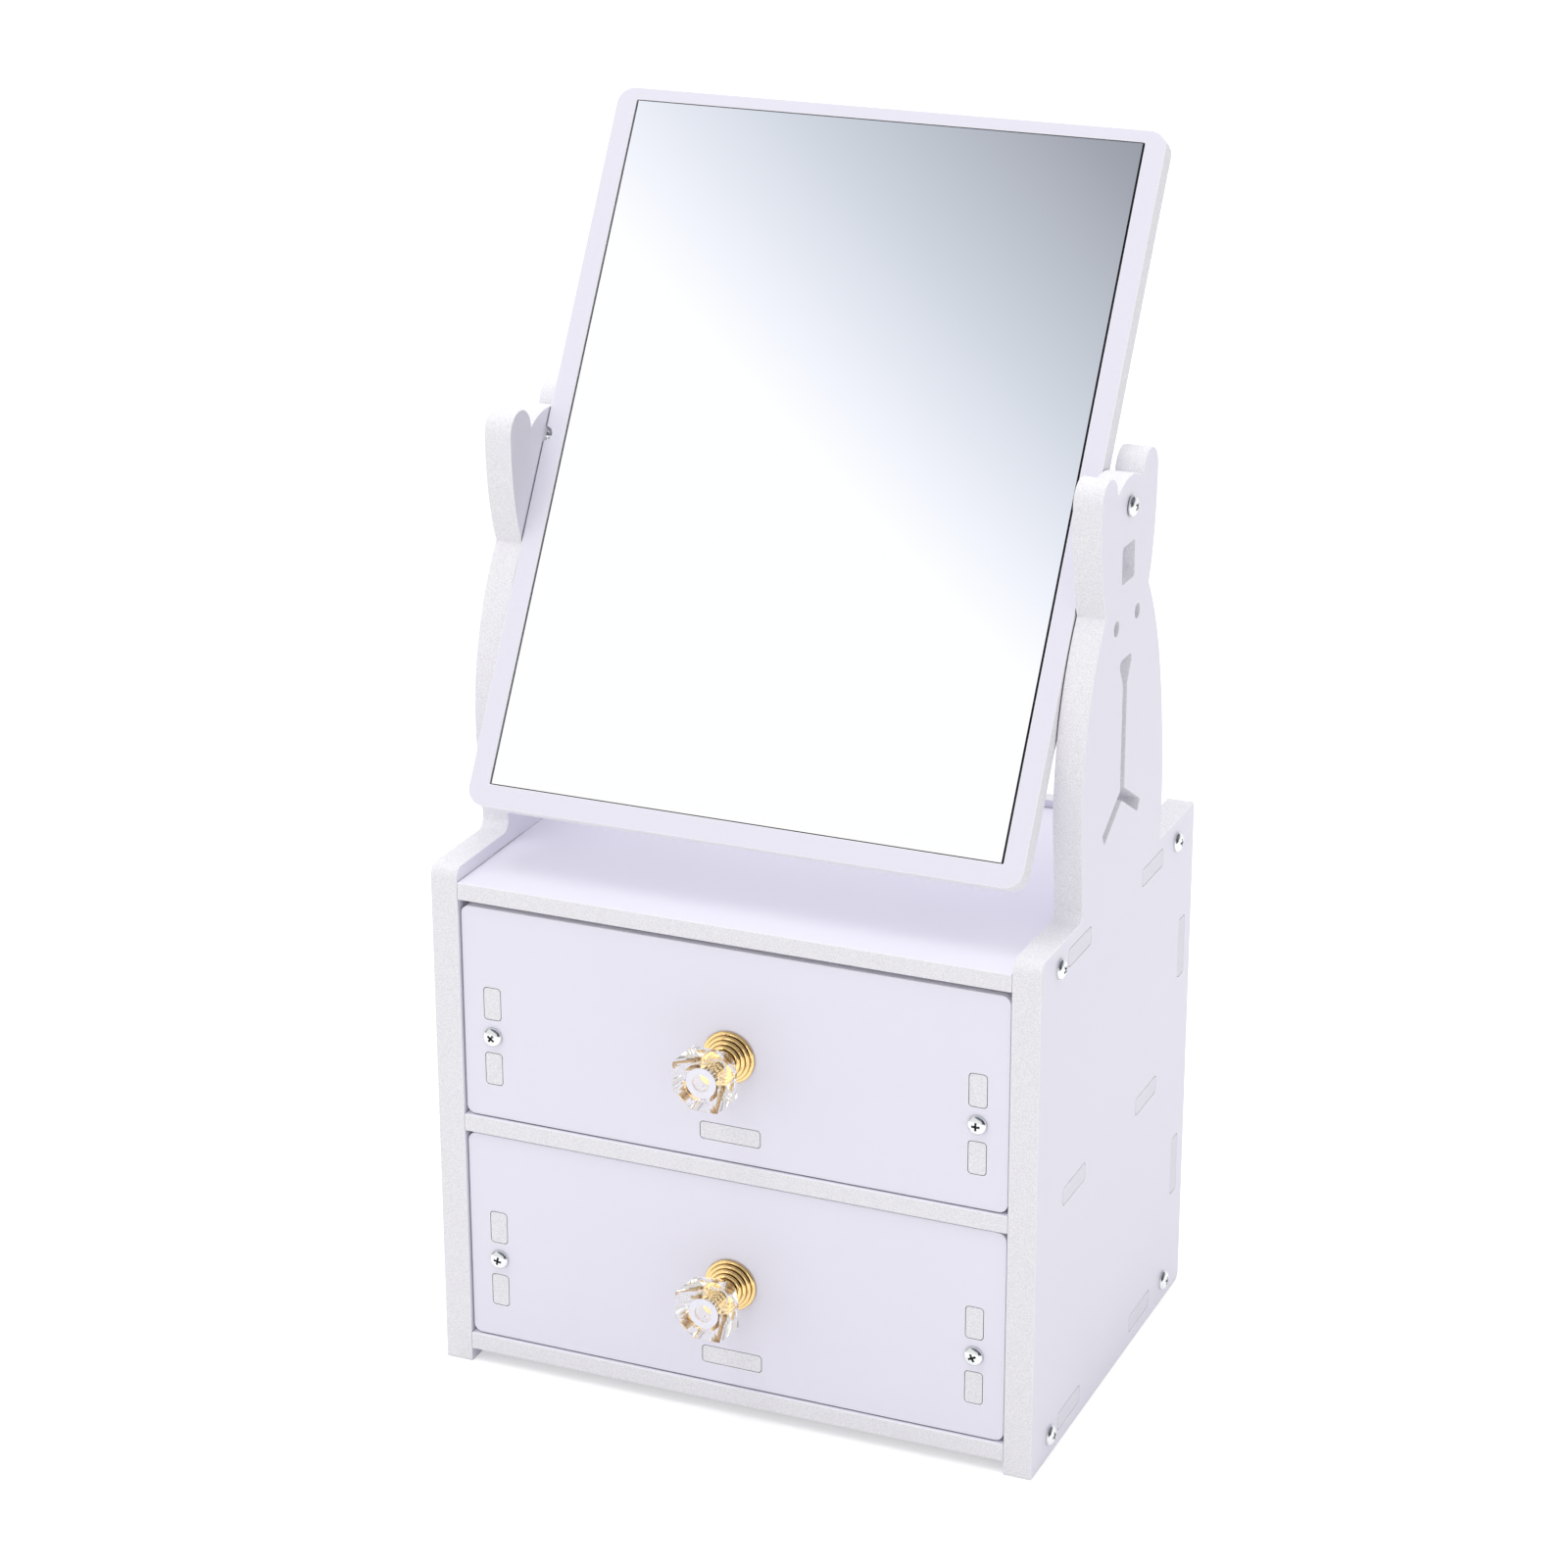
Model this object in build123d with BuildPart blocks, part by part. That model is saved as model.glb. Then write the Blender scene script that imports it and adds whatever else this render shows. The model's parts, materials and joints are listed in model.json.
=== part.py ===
"""Makeup mirror with storage: a foam board stand with two drawers and a tilting mirror."""

import os
from math import cos, hypot, radians, sin

from build123d import *

os.makedirs("parts", exist_ok=True)

# Millimetres. X runs to the right, Y to the back and Z up, with the feet at Z = 0 and the
# origin under the middle of the overall box, knobs included.

# Boards
side_board = 8.0  # side panels
board = 5.0  # shelves, back and drawers
mirror_board = 6.0  # mirror frame

# Stand
width = 176.0  # over the two side panels
depth = 126.0  # side panels, front edge to back edge
foot_height = 4.0  # bottom panel above the table
lower_bay = 63.0  # clear height for the lower drawer
upper_bay = 64.0  # clear height for the upper drawer
shelf_drop = 4.0  # top shelf below the side panels' shoulders
back_inset = 5.5  # back panel in from the side panels' back edges
back_drop = 1.7  # back panel below the shoulders
shoulder_corner = 3.0  # rounding of each side panel's front top corner
heel_corner = 2.0  # rounding of each side panel's back bottom corner

# Tabs in slots
tab_length = 17.6
tab_front = 29.8  # first tab of a shelf, from the front edge
tab_back = 36.2  # and second, from the back edge
tab_corner = 1.0  # rounding of every tab, as the router leaves the slots
tab_gap = 0.12  # slot wider than its tab, on every side

# Drawers
slide_gap = 0.3  # under each drawer
head_gap = 0.7  # least gap over a drawer front
side_gap = 0.5  # each side of a drawer front
front_recess = 1.0  # drawer front behind the side panels' front edges
rear_gap = 0.5  # between the screw heads on a closed drawer and the back panel
front_corner = 2.5
overhang = 6.2  # front and back boards past the drawer's sides
wall_height = 48.5  # drawer sides and back
floor_lift = 5.5  # drawer bottom above the lower edge of the sides
floor_tab_inset = 21.15  # tabs of the drawer bottom, from the ends of the sides
wall_tab = 9.4  # tabs on the ends of the drawer sides
wall_tab_pitch = 19.4

# Posts, measured from the pivot
pivot_depth = 61.0  # pivot behind the front edge
waist_half = 17.4
waist_drop = 25.8  # waist below the pivot
belly_half = 32.5
belly_drop = 67.0
post_front = 29.6  # where the post leaves the shoulder, in front of the pivot
post_back = 34.2  # and behind it
post_fillet = 3.0
foot_lean = 0.1  # how far the post's edges lean outwards at the shoulder, for each 1 up
waist_lean_in = 0.75  # inwards as they come up to the waist
waist_lean_out = 0.42  # and outwards above it
ear_radius = 6.2
ear_centre = 16.3  # ears before and behind the pivot
ear_rise = 5.2
crown_rise = 8.2  # low dome between the ears

# Cut-outs in the posts, measured from the pivot
window = 10.2
window_drop = 15.3
window_corner = 1.2
eyelet_radius = 2.1
eyelet_drop = 31.1
eyelet_half = 8.4
drop_width = 11.5
drop_height = 10.5
drop_top = 41.4
drop_corner = 1.6
stem_width = 3.6
stem_end = 79.6
leg_spread = 14.5  # how far each leg of the cut-out reaches to its side
leg_fall = 8.5

# Mirror
tilt = 30.5  # leaned back from upright
mirror_side_gap = 0.3  # between the mirror and each post
mirror_above = 100.2  # pivot to the frame's upper edge
mirror_below = 104.0  # pivot to its lower edge
sweep_gap = 5.1  # between the lower edge and the top shelf as it swings past
mirror_corner = 5.0
glass_thick = 1.2
glass_recess = 0.1  # glass below the frame's face
border_side = 5.9
border_top = 3.5
border_bottom = 6.2
glass_gap_side = 0.6
glass_gap_end = 0.25
notch_radius = 2.0

# Wood screws
shank = 1.45  # radius
screw_head = 2.75  # radius
head_height = 1.7
screw_tip = 2.5  # length of the cone at the end
screw_point = 0.2  # radius of its point
rim = 0.4  # straight side of a head, as a share of its height
bend = (0.85, 0.8)  # where a head's slope bends, as shares of its radius and height
crown_flat = 0.5  # flat top of a head, as a share of its radius
screw_bite = 12.0  # length past the board that it clamps
drill_past = 1.0  # hole past the end of its screw
cross_width = 0.8
cross_length = 3.0
cross_depth = 0.9
bite_gap = 0.02  # round a shank that is screwed in
pass_gap = 0.15  # round a shank that passes through
turn_gap = 0.05  # round a pivot screw in its post
pivot_head_gap = 0.3  # under a pivot screw's head, so that it turns freely
screw_front = 14.0  # side screws, from the front edge
screw_back = 15.6  # and from the back edge

# Knobs
flange = 7.5  # radius over the widest ring
neck = 3.6  # radius under the crystal
rings = 5
ring_pitch = 0.95
ring_bevel = 0.3  # share of the pitch
stud = 2.4  # radius of the brass stud in the crystal
stud_cover = 2.0  # crystal in front of the stud
bolt = 1.95  # radius of the machine screw behind the knob
bolt_head = 3.8
bolt_head_height = 2.2
bolt_grip = 5.0  # into the knob
bolt_chamfer = 0.5
crystal_sides = 8
girdle = 9.05  # from the axis to a flat
girdle_corner = 9.7  # from the axis to a corner
girdle_band = 1.2
pavilion = 10.6  # length behind the girdle
pavilion_slopes = (26.5, 28.5)  # facets under the flats and under the corners, from the axis
crown = 1.5  # length in front of the girdle
crown_slopes = (68.0, 71.0)
table = 4.3  # radius of the round table
table_rise = 0.3

# Heights
lower_floor = foot_height + board
middle_z = lower_floor + lower_bay
upper_floor = middle_z + board
top_z = upper_floor + upper_bay
shelf_top = top_z + board
shoulder = shelf_top + shelf_drop
pivot_z = shelf_top + sweep_gap + hypot(mirror_below, mirror_board / 2)

# Plan
ring_stack = rings * ring_pitch
crystal_length = pavilion + girdle_band + crown
stud_length = crystal_length - stud_cover
knob_reach = ring_stack + crystal_length + table_rise - front_recess
front_y = (knob_reach - depth) / 2
back_y = front_y + depth - back_inset - board  # front face of the back panel
shelf_depth = back_y - front_y
pivot_y = front_y + pivot_depth
inner = width - 2 * side_board
shelf_tabs = [front_y + tab_front, front_y + depth - tab_back]
bay_middles = [lower_floor + lower_bay / 2, upper_floor + upper_bay / 2]

# Drawer
drawer_width = inner - 2 * side_gap
drawer_height = min(lower_bay, upper_bay) - slide_gap - head_gap
drawer_y = front_y + front_recess
drawer_end = back_y - rear_gap - head_height
wall_length = drawer_end - drawer_y - 2 * board
wall_middle = (drawer_y + drawer_end) / 2
wall_x = drawer_width / 2 - overhang - board / 2  # middle of each drawer side
floor_width = 2 * wall_x - board
floor_tab_reach = wall_length / 2 - floor_tab_inset
floor_tabs = [wall_middle - floor_tab_reach, wall_middle + floor_tab_reach]


def save(piece, name):
    piece.label = name
    export_step(piece, f"parts/{name}.step")


def axial(seat):
    """Plane through a seat's axis: x runs out from the axis and y along it."""
    return Plane(origin=seat.origin, x_dir=seat.x_dir, z_dir=-seat.y_dir)


def slot(length, height, mode=Mode.ADD):
    """Slot for a rounded tab of this section."""
    RectangleRounded(length + 2 * tab_gap, height + 2 * tab_gap, tab_corner + tab_gap, mode=mode)


def pan_screw(seat, length, radius, head, height, tip, point):
    """Pan head screw with a cross recess: the head sits on the seat, the shank runs below it."""
    with BuildPart() as screw:
        with BuildSketch(axial(seat)):
            with BuildLine():
                Polyline((0, height), (0, -length), (point, -length), (radius, tip - length))
                Polyline((radius, tip - length), (radius, 0), (head, 0), (head, rim * height))
                Line((head, rim * height), (bend[0] * head, bend[1] * height))
                Line((bend[0] * head, bend[1] * height), (crown_flat * head, height))
                Line((crown_flat * head, height), (0, height))
            make_face()
        revolve(axis=Axis(seat.origin, seat.z_dir))
        with BuildSketch(seat.offset(height)):
            Rectangle(cross_length, cross_width, rotation=45)
            Rectangle(cross_width, cross_length, rotation=45)
        extrude(amount=-cross_depth, mode=Mode.SUBTRACT)
    return screw.part


def wood_screw(seat, length):
    return pan_screw(seat, length, shank, screw_head, head_height, screw_tip, screw_point)


def machine_screw(seat, length):
    return pan_screw(seat, length, bolt, bolt_head, bolt_head_height, bolt_chamfer, bolt - bolt_chamfer)


def stepped_base(seat):
    """Brass knob base: a stack of beads that narrows to the neck, and a stud for the crystal."""
    step = (flange - neck) / (rings - 1)
    bevel = ring_bevel * ring_pitch
    with BuildPart() as base:
        with BuildSketch(axial(seat)):
            with BuildLine():
                Line((0, 0), (flange - bevel, 0))
                for i in range(rings):
                    edge = flange - i * step
                    low, high = i * ring_pitch, (i + 1) * ring_pitch
                    Polyline((edge - bevel, low), (edge, low + bevel), (edge, high - bevel))
                    Line((edge, high - bevel), (edge - bevel, high))
                    Line((edge - bevel, high), (edge - bevel - step if i < rings - 1 else stud, high))
                top = ring_stack + stud_length
                Polyline((stud, ring_stack), (stud, top), (0, top), (0, 0))
            make_face()
        revolve(axis=Axis(seat.origin, seat.z_dir))
        with BuildSketch(seat):
            Circle(bolt + bite_gap)
        extrude(amount=bolt_grip + drill_past, mode=Mode.SUBTRACT)
    return base.part


def cut_crystal(seat):
    """Clear knob, cut like a gem: each row of facets is one plane repeated round the axis."""
    cutter = 3 * girdle_corner
    half_turn = 180 / crystal_sides
    front = pavilion + girdle_band
    rows = [  # height along the axis, distance from it, slope and turn of the row
        (pavilion, girdle, 0, 0),
        (front, girdle, crown_slopes[0], 0),
        (front, girdle_corner, crown_slopes[1], half_turn),
        (pavilion, girdle, -pavilion_slopes[0], 0),
        (pavilion, girdle_corner, -pavilion_slopes[1], half_turn),
    ]
    with BuildPart(seat) as crystal:
        Cylinder(girdle_corner, crystal_length, align=(Align.CENTER, Align.CENTER, Align.MIN))
        for height, reach, slope, turn in rows:
            with Locations((0, 0, height)):
                with PolarLocations(reach, crystal_sides, start_angle=turn):
                    Box(
                        cutter,
                        cutter,
                        cutter,
                        rotation=(0, -slope, 0),
                        align=(Align.MIN, Align.CENTER, Align.CENTER),
                        mode=Mode.SUBTRACT,
                    )
        with Locations((0, 0, crystal_length)):
            Cylinder(table, table_rise, align=(Align.CENTER, Align.CENTER, Align.MIN))
        Cylinder(
            stud + bite_gap,
            stud_length + bite_gap,
            align=(Align.CENTER, Align.CENTER, Align.MIN),
            mode=Mode.SUBTRACT,
        )
    return crystal.part


# Side panels: box side and post in one board, routed through for the tabs, screws and cut-outs.
side_screws = {
    f"{level}_{place}": (y, z + board / 2)
    for level, z in (("top", top_z), ("bottom", foot_height))
    for place, y in (("front", front_y + screw_front), ("back", front_y + depth - screw_back))
}
outer_face = Plane.YZ.offset(width / 2)
pivot_face = Plane(origin=(width / 2, pivot_y, pivot_z), x_dir=(0, 1, 0), z_dir=(1, 0, 0))
shoulder_drop = pivot_z - shoulder
ear_side = ear_centre + ear_radius
ear_inside = ear_centre - ear_radius

with BuildPart() as right_side_panel:
    with BuildSketch(outer_face):
        with Locations((front_y, 0)):
            Rectangle(depth, shoulder, align=(Align.MIN, Align.MIN))
    with BuildSketch(pivot_face):
        with BuildLine():
            Line((-post_front, -shoulder_drop), (post_back, -shoulder_drop))
            for side, foot in ((-1, post_front), (1, post_back)):
                Spline(
                    (side * foot, -shoulder_drop),
                    (side * belly_half, -belly_drop),
                    (side * waist_half, -waist_drop),
                    tangents=((side * foot_lean, 1), (-side * waist_lean_in, 1)),
                )
                Spline(
                    (side * waist_half, -waist_drop),
                    (side * ear_side, ear_rise),
                    tangents=((side * waist_lean_out, 1), (0, 1)),
                )
                ThreePointArc(
                    (side * ear_side, ear_rise),
                    (side * ear_centre, ear_rise + ear_radius),
                    (side * ear_inside, ear_rise),
                )
            ThreePointArc((-ear_inside, ear_rise), (0, crown_rise), (ear_inside, ear_rise))
        make_face()
    extrude(amount=-side_board)
    across = right_side_panel.edges().filter_by(Axis.X)
    for corner, radius in (
        ((front_y, shoulder), shoulder_corner),
        ((front_y + depth, 0), heel_corner),
        ((pivot_y - post_front, shoulder), post_fillet),
    ):
        fillet(across.sort_by_distance((width / 2, *corner))[0], radius)
    with BuildSketch(outer_face):
        shelves = [z + board / 2 for z in (foot_height, middle_z, top_z)]
        with Locations(*[(y, z) for y in shelf_tabs for z in shelves]):
            slot(tab_length, board)
        with Locations(*[(back_y + board / 2, z) for z in bay_middles]):
            slot(board, tab_length)
        with Locations(*side_screws.values()):
            Circle(shank + pass_gap)
    with BuildSketch(pivot_face):
        Circle(shank + turn_gap)
        with Locations((0, -window_drop)):
            RectangleRounded(window, window, window_corner)
        with Locations((-eyelet_half, -eyelet_drop), (eyelet_half, -eyelet_drop)):
            Circle(eyelet_radius)
    extrude(amount=-side_board, mode=Mode.SUBTRACT)
    with BuildSketch(pivot_face) as stem_cut:
        Polygon(
            (-drop_width / 2, -drop_top),
            (0, -drop_top - drop_height),
            (drop_width / 2, -drop_top),
            align=None,
        )
        fillet(stem_cut.vertices(), drop_corner)
        with BuildLine():
            Line((0, -drop_top - drop_height / 2), (0, -stem_end))
            for side in (-1, 1):
                Line((0, -stem_end), (side * leg_spread, -stem_end - leg_fall))
        trace(line_width=stem_width)
    extrude(amount=-side_board, mode=Mode.SUBTRACT)

with BuildPart() as left_side_panel:
    mirror(right_side_panel.part, about=Plane.YZ)

save(right_side_panel.part, "right_side_panel")
save(left_side_panel.part, "left_side_panel")

for level, (y, z) in side_screws.items():
    for hand, side in (("left", -1), ("right", 1)):
        seat = Plane(origin=(side * width / 2, y, z), x_dir=(0, 1, 0), z_dir=(side, 0, 0))
        save(wood_screw(seat, side_board + screw_bite), f"{hand}_{level}_screw")

# Shelves and bottom: one board each, with two tabs a side and, but for the middle one, screw holes.
for name, z in (("bottom_panel", foot_height), ("middle_shelf", middle_z), ("top_shelf", top_z)):
    with BuildPart() as shelf:
        with BuildSketch(Plane.XY.offset(z)):
            with Locations((0, front_y)):
                Rectangle(inner, shelf_depth, align=(Align.CENTER, Align.MIN))
        extrude(amount=board)
        with BuildSketch(Plane.YZ.offset(-width / 2)):
            with Locations(*[(y, z + board / 2) for y in shelf_tabs]):
                RectangleRounded(tab_length, board, tab_corner)
        extrude(amount=width)
        holes = [place for place in side_screws.values() if place[1] == z + board / 2]
        for side in (-1, 1):
            if holes:
                with BuildSketch(Plane.YZ.offset(side * inner / 2)):
                    with Locations(*holes):
                        Circle(shank + bite_gap)
                extrude(amount=-side * (screw_bite + drill_past), mode=Mode.SUBTRACT)
    save(shelf.part, name)

with BuildPart() as back_panel:
    with BuildSketch(Plane.XZ.offset(-back_y)):
        with Locations((0, foot_height)):
            Rectangle(inner, shoulder - back_drop - foot_height, align=(Align.CENTER, Align.MIN))
    extrude(amount=-board)
    with BuildSketch(Plane.YZ.offset(-width / 2)):
        with Locations(*[(back_y + board / 2, z) for z in bay_middles]):
            RectangleRounded(board, tab_length, tab_corner)
    extrude(amount=width)
save(back_panel.part, "back_panel")

# Mirror: a board pocketed for the glass, hung on one screw into each side edge.
mirror_width = inner - 2 * mirror_side_gap
mirror_height = mirror_above + mirror_below
outward = (0, -cos(radians(tilt)), sin(radians(tilt)))
facing = Plane(origin=(0, pivot_y, pivot_z), x_dir=(1, 0, 0), z_dir=outward)
face = facing.offset(mirror_board / 2)
middle = (mirror_above - mirror_below) / 2
opening_width = mirror_width - 2 * border_side
opening_height = mirror_height - border_top - border_bottom
opening_middle = middle + (border_bottom - border_top) / 2

with BuildPart() as mirror_frame:
    with BuildSketch(face):
        with Locations((0, middle)):
            RectangleRounded(mirror_width, mirror_height, mirror_corner)
        with Locations((-mirror_width / 2, 0), (mirror_width / 2, 0)):
            Circle(notch_radius, mode=Mode.SUBTRACT)
    extrude(amount=-mirror_board)
    with BuildSketch(face):
        with Locations((0, opening_middle)):
            Rectangle(opening_width, opening_height)
    extrude(amount=-(glass_thick + glass_recess), mode=Mode.SUBTRACT)
    for side in (-1, 1):
        with BuildSketch(Plane.YZ.offset(side * mirror_width / 2)):
            with Locations((pivot_y, pivot_z)):
                Circle(shank + bite_gap)
        extrude(amount=-side * (screw_bite + drill_past), mode=Mode.SUBTRACT)
save(mirror_frame.part, "mirror_frame")

with BuildPart() as mirror_glass:
    with BuildSketch(face.offset(-glass_recess)):
        with Locations((0, opening_middle)):
            Rectangle(opening_width - 2 * glass_gap_side, opening_height - 2 * glass_gap_end)
    extrude(amount=-glass_thick)
save(mirror_glass.part, "mirror_glass")

for hand, side in (("left", -1), ("right", 1)):
    seat = Plane(
        origin=(side * (width / 2 + pivot_head_gap), pivot_y, pivot_z),
        x_dir=(0, 1, 0),
        z_dir=(side, 0, 0),
    )
    length = pivot_head_gap + side_board + mirror_side_gap + screw_bite
    save(wood_screw(seat, length), f"{hand}_pivot_screw")

# Drawers: five boards each, joined like the stand, with the knob screwed on from inside.
for name, bay_floor in (("upper", upper_floor), ("lower", lower_floor)):
    base = bay_floor + slide_gap
    wall_z = base + wall_height / 2
    knob_z = base + drawer_height / 2
    floor_z = base + floor_lift + board / 2
    tab_heights = [wall_z - wall_tab_pitch / 2, wall_z + wall_tab_pitch / 2]

    ends = (("front", drawer_y, drawer_height), ("back", drawer_end - board, wall_height))
    for end, y, height in ends:
        with BuildPart() as panel:
            with BuildSketch(Plane.XZ.offset(-y)):
                with Locations((0, base + height / 2)):
                    RectangleRounded(drawer_width, height, front_corner)
                with Locations(*[(side * wall_x, z) for side in (-1, 1) for z in tab_heights]):
                    slot(board, wall_tab, mode=Mode.SUBTRACT)
                with Locations((0, floor_z)):
                    slot(tab_length, board, mode=Mode.SUBTRACT)
                with Locations((-wall_x, wall_z), (wall_x, wall_z)):
                    Circle(shank + pass_gap, mode=Mode.SUBTRACT)
                if end == "front":
                    with Locations((0, knob_z)):
                        Circle(bolt + pass_gap, mode=Mode.SUBTRACT)
            extrude(amount=-board)
        save(panel.part, f"{name}_drawer_{end}")

    for hand, x in (("left", -wall_x), ("right", wall_x)):
        with BuildPart() as wall:
            with BuildSketch(Plane.YZ.offset(x - board / 2)):
                with Locations((wall_middle, wall_z)):
                    Rectangle(wall_length, wall_height)
            extrude(amount=board)
            with BuildSketch(Plane.XZ.offset(-drawer_y)):
                with Locations(*[(x, z) for z in tab_heights]):
                    RectangleRounded(board, wall_tab, tab_corner)
            extrude(amount=drawer_y - drawer_end)
            with BuildSketch(Plane.YZ.offset(x - board / 2)):
                with Locations(*[(y, floor_z) for y in floor_tabs]):
                    slot(tab_length, board)
            extrude(amount=board, mode=Mode.SUBTRACT)
            for y, inward in ((drawer_y + board, -1), (drawer_end - board, 1)):
                with BuildSketch(Plane.XZ.offset(-y)):
                    with Locations((x, wall_z)):
                        Circle(shank + bite_gap)
                extrude(amount=inward * (screw_bite + drill_past), mode=Mode.SUBTRACT)
        save(wall.part, f"{name}_drawer_{hand}_side")
        for end, y, outward in (("front", drawer_y, -1), ("back", drawer_end, 1)):
            seat = Plane(origin=(x, y, wall_z), x_dir=(1, 0, 0), z_dir=(0, outward, 0))
            save(wood_screw(seat, board + screw_bite), f"{name}_{end}_{hand}_screw")

    with BuildPart() as floor:
        with BuildSketch(Plane.XY.offset(floor_z - board / 2)):
            with Locations((0, wall_middle)):
                Rectangle(floor_width, wall_length)
        extrude(amount=board)
        with BuildSketch(Plane.YZ.offset(-floor_width / 2 - board)):
            with Locations(*[(y, floor_z) for y in floor_tabs]):
                RectangleRounded(tab_length, board, tab_corner)
        extrude(amount=floor_width + 2 * board)
        with BuildSketch(Plane.XZ.offset(-drawer_y)):
            with Locations((0, floor_z)):
                RectangleRounded(tab_length, board, tab_corner)
        extrude(amount=drawer_y - drawer_end)
    save(floor.part, f"{name}_drawer_bottom")

    seat = Plane(origin=(0, drawer_y, knob_z), x_dir=(1, 0, 0), z_dir=(0, -1, 0))
    save(stepped_base(seat), f"{name}_knob_base")
    save(cut_crystal(seat.offset(ring_stack)), f"{name}_knob_crystal")
    inside = Plane(origin=(0, drawer_y + board, knob_z), x_dir=(1, 0, 0), z_dir=(0, 1, 0))
    save(machine_screw(inside, board + bolt_grip), f"{name}_knob_screw")
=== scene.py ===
# %% [markdown]
# # A makeup mirror with two drawers
# The real thing is flat-pack work: white foam board, cut on a router, with a mirror hung between two
# posts and a cut crystal knob on each drawer. Its solids come from a CAD model, at their real size.
# This lesson dresses them in Blender: edges are eased, screws and knobs get their fine forms, and every
# surface gets a finish made of nodes. Lengths are in metres, and `mm` keeps small ones readable.

# %% Load the frame
import json
from math import cos, pi, radians, sin

import bmesh
import bpy
from mathutils import Matrix, Vector

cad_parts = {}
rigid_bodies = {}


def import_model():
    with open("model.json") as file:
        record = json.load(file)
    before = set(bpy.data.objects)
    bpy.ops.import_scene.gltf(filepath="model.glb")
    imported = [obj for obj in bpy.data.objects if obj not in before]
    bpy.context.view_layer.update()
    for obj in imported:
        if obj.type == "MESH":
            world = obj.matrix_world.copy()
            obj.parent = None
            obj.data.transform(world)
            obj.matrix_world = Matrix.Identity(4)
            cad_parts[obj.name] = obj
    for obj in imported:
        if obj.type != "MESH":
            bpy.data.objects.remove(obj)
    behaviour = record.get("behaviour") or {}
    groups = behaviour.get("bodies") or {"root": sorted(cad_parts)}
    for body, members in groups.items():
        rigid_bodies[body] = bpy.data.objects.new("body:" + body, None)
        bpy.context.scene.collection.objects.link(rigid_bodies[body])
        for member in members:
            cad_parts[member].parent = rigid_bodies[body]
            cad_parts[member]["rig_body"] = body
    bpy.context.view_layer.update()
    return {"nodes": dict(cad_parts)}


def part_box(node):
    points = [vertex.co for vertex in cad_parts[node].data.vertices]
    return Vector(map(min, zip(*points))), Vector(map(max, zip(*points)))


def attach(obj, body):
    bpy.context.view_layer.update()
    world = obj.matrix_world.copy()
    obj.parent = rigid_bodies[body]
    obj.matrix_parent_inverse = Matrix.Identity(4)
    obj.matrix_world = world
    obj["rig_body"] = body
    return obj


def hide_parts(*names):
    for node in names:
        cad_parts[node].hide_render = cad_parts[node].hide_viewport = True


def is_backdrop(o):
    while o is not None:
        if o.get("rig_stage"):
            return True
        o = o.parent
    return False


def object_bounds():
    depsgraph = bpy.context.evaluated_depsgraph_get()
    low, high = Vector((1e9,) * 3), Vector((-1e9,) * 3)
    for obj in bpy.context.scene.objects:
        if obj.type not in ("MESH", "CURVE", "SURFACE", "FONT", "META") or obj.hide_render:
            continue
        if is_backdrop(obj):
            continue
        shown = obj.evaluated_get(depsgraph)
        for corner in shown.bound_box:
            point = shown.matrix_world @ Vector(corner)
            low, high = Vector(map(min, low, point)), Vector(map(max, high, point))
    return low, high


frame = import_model()
nodes = frame["nodes"]
mm = 0.001

# %% [markdown]
# ## The camera
# A product photographer stood a metre off, to the right and a little above, with a long lens. The
# numbers that place the camera were found by fitting the photograph's edges. The lens is shifted a
# little, because the picture was cropped off centre.

# %% Place the camera
camera_distance = 1.0118
camera_azimuth = radians(22.789)
camera_elevation = radians(20.349)
camera_roll = radians(0.079)
camera_aim = Vector((0.0333, -0.0655, 0.2047))
film_width = 36
focal_length = 92.01

toward_camera = Vector((
    sin(camera_azimuth) * cos(camera_elevation),
    -cos(camera_azimuth) * cos(camera_elevation),
    sin(camera_elevation),
))
camera = bpy.data.objects.new("camera", bpy.data.cameras.new("camera"))
bpy.context.scene.collection.objects.link(camera)
camera.data.sensor_width = film_width
camera.data.lens = focal_length
camera.data.shift_x = -0.0276
camera.data.shift_y = -0.0222
camera.data.clip_start = 0.05
camera.matrix_world = (
    Matrix.Translation(camera_aim + toward_camera * camera_distance)
    @ toward_camera.to_track_quat("Z", "Y").to_matrix().to_4x4()
    @ Matrix.Rotation(camera_roll, 4, "Z")
)
bpy.context.scene.camera = camera
bpy.context.scene.view_settings.view_transform = "Standard"
print("Camera at", [round(value, 3) for value in camera.matrix_world.translation])

# %% [markdown]
# ## Writing node trees as sums
# A finish is a small sum: board colour, less a little where a pore is. Wiring that by hand takes many
# lines, so one class stands for a socket and adds a Math node for each +, -, * or /. A second class
# holds the tree and has one method that adds any other node.

# %% Sockets that can be added and multiplied
class Signal:
    """What one socket gives out, usable in Python sums."""

    def __init__(self, tree, socket):
        self.tree = tree
        self.socket = socket

    def math(self, operation, *values):
        inputs = dict(enumerate(values))
        return self.tree.node("ShaderNodeMath", inputs, operation=operation)

    def __add__(self, other):
        return self.math("ADD", self, other)

    def __sub__(self, other):
        return self.math("SUBTRACT", self, other)

    def __rsub__(self, other):
        return self.math("SUBTRACT", other, self)

    def __mul__(self, other):
        return self.math("MULTIPLY", self, other)

    def __gt__(self, other):
        return self.math("GREATER_THAN", self, other)

    def __lt__(self, other):
        return self.math("LESS_THAN", self, other)

    __radd__ = __add__
    __rmul__ = __mul__


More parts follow.
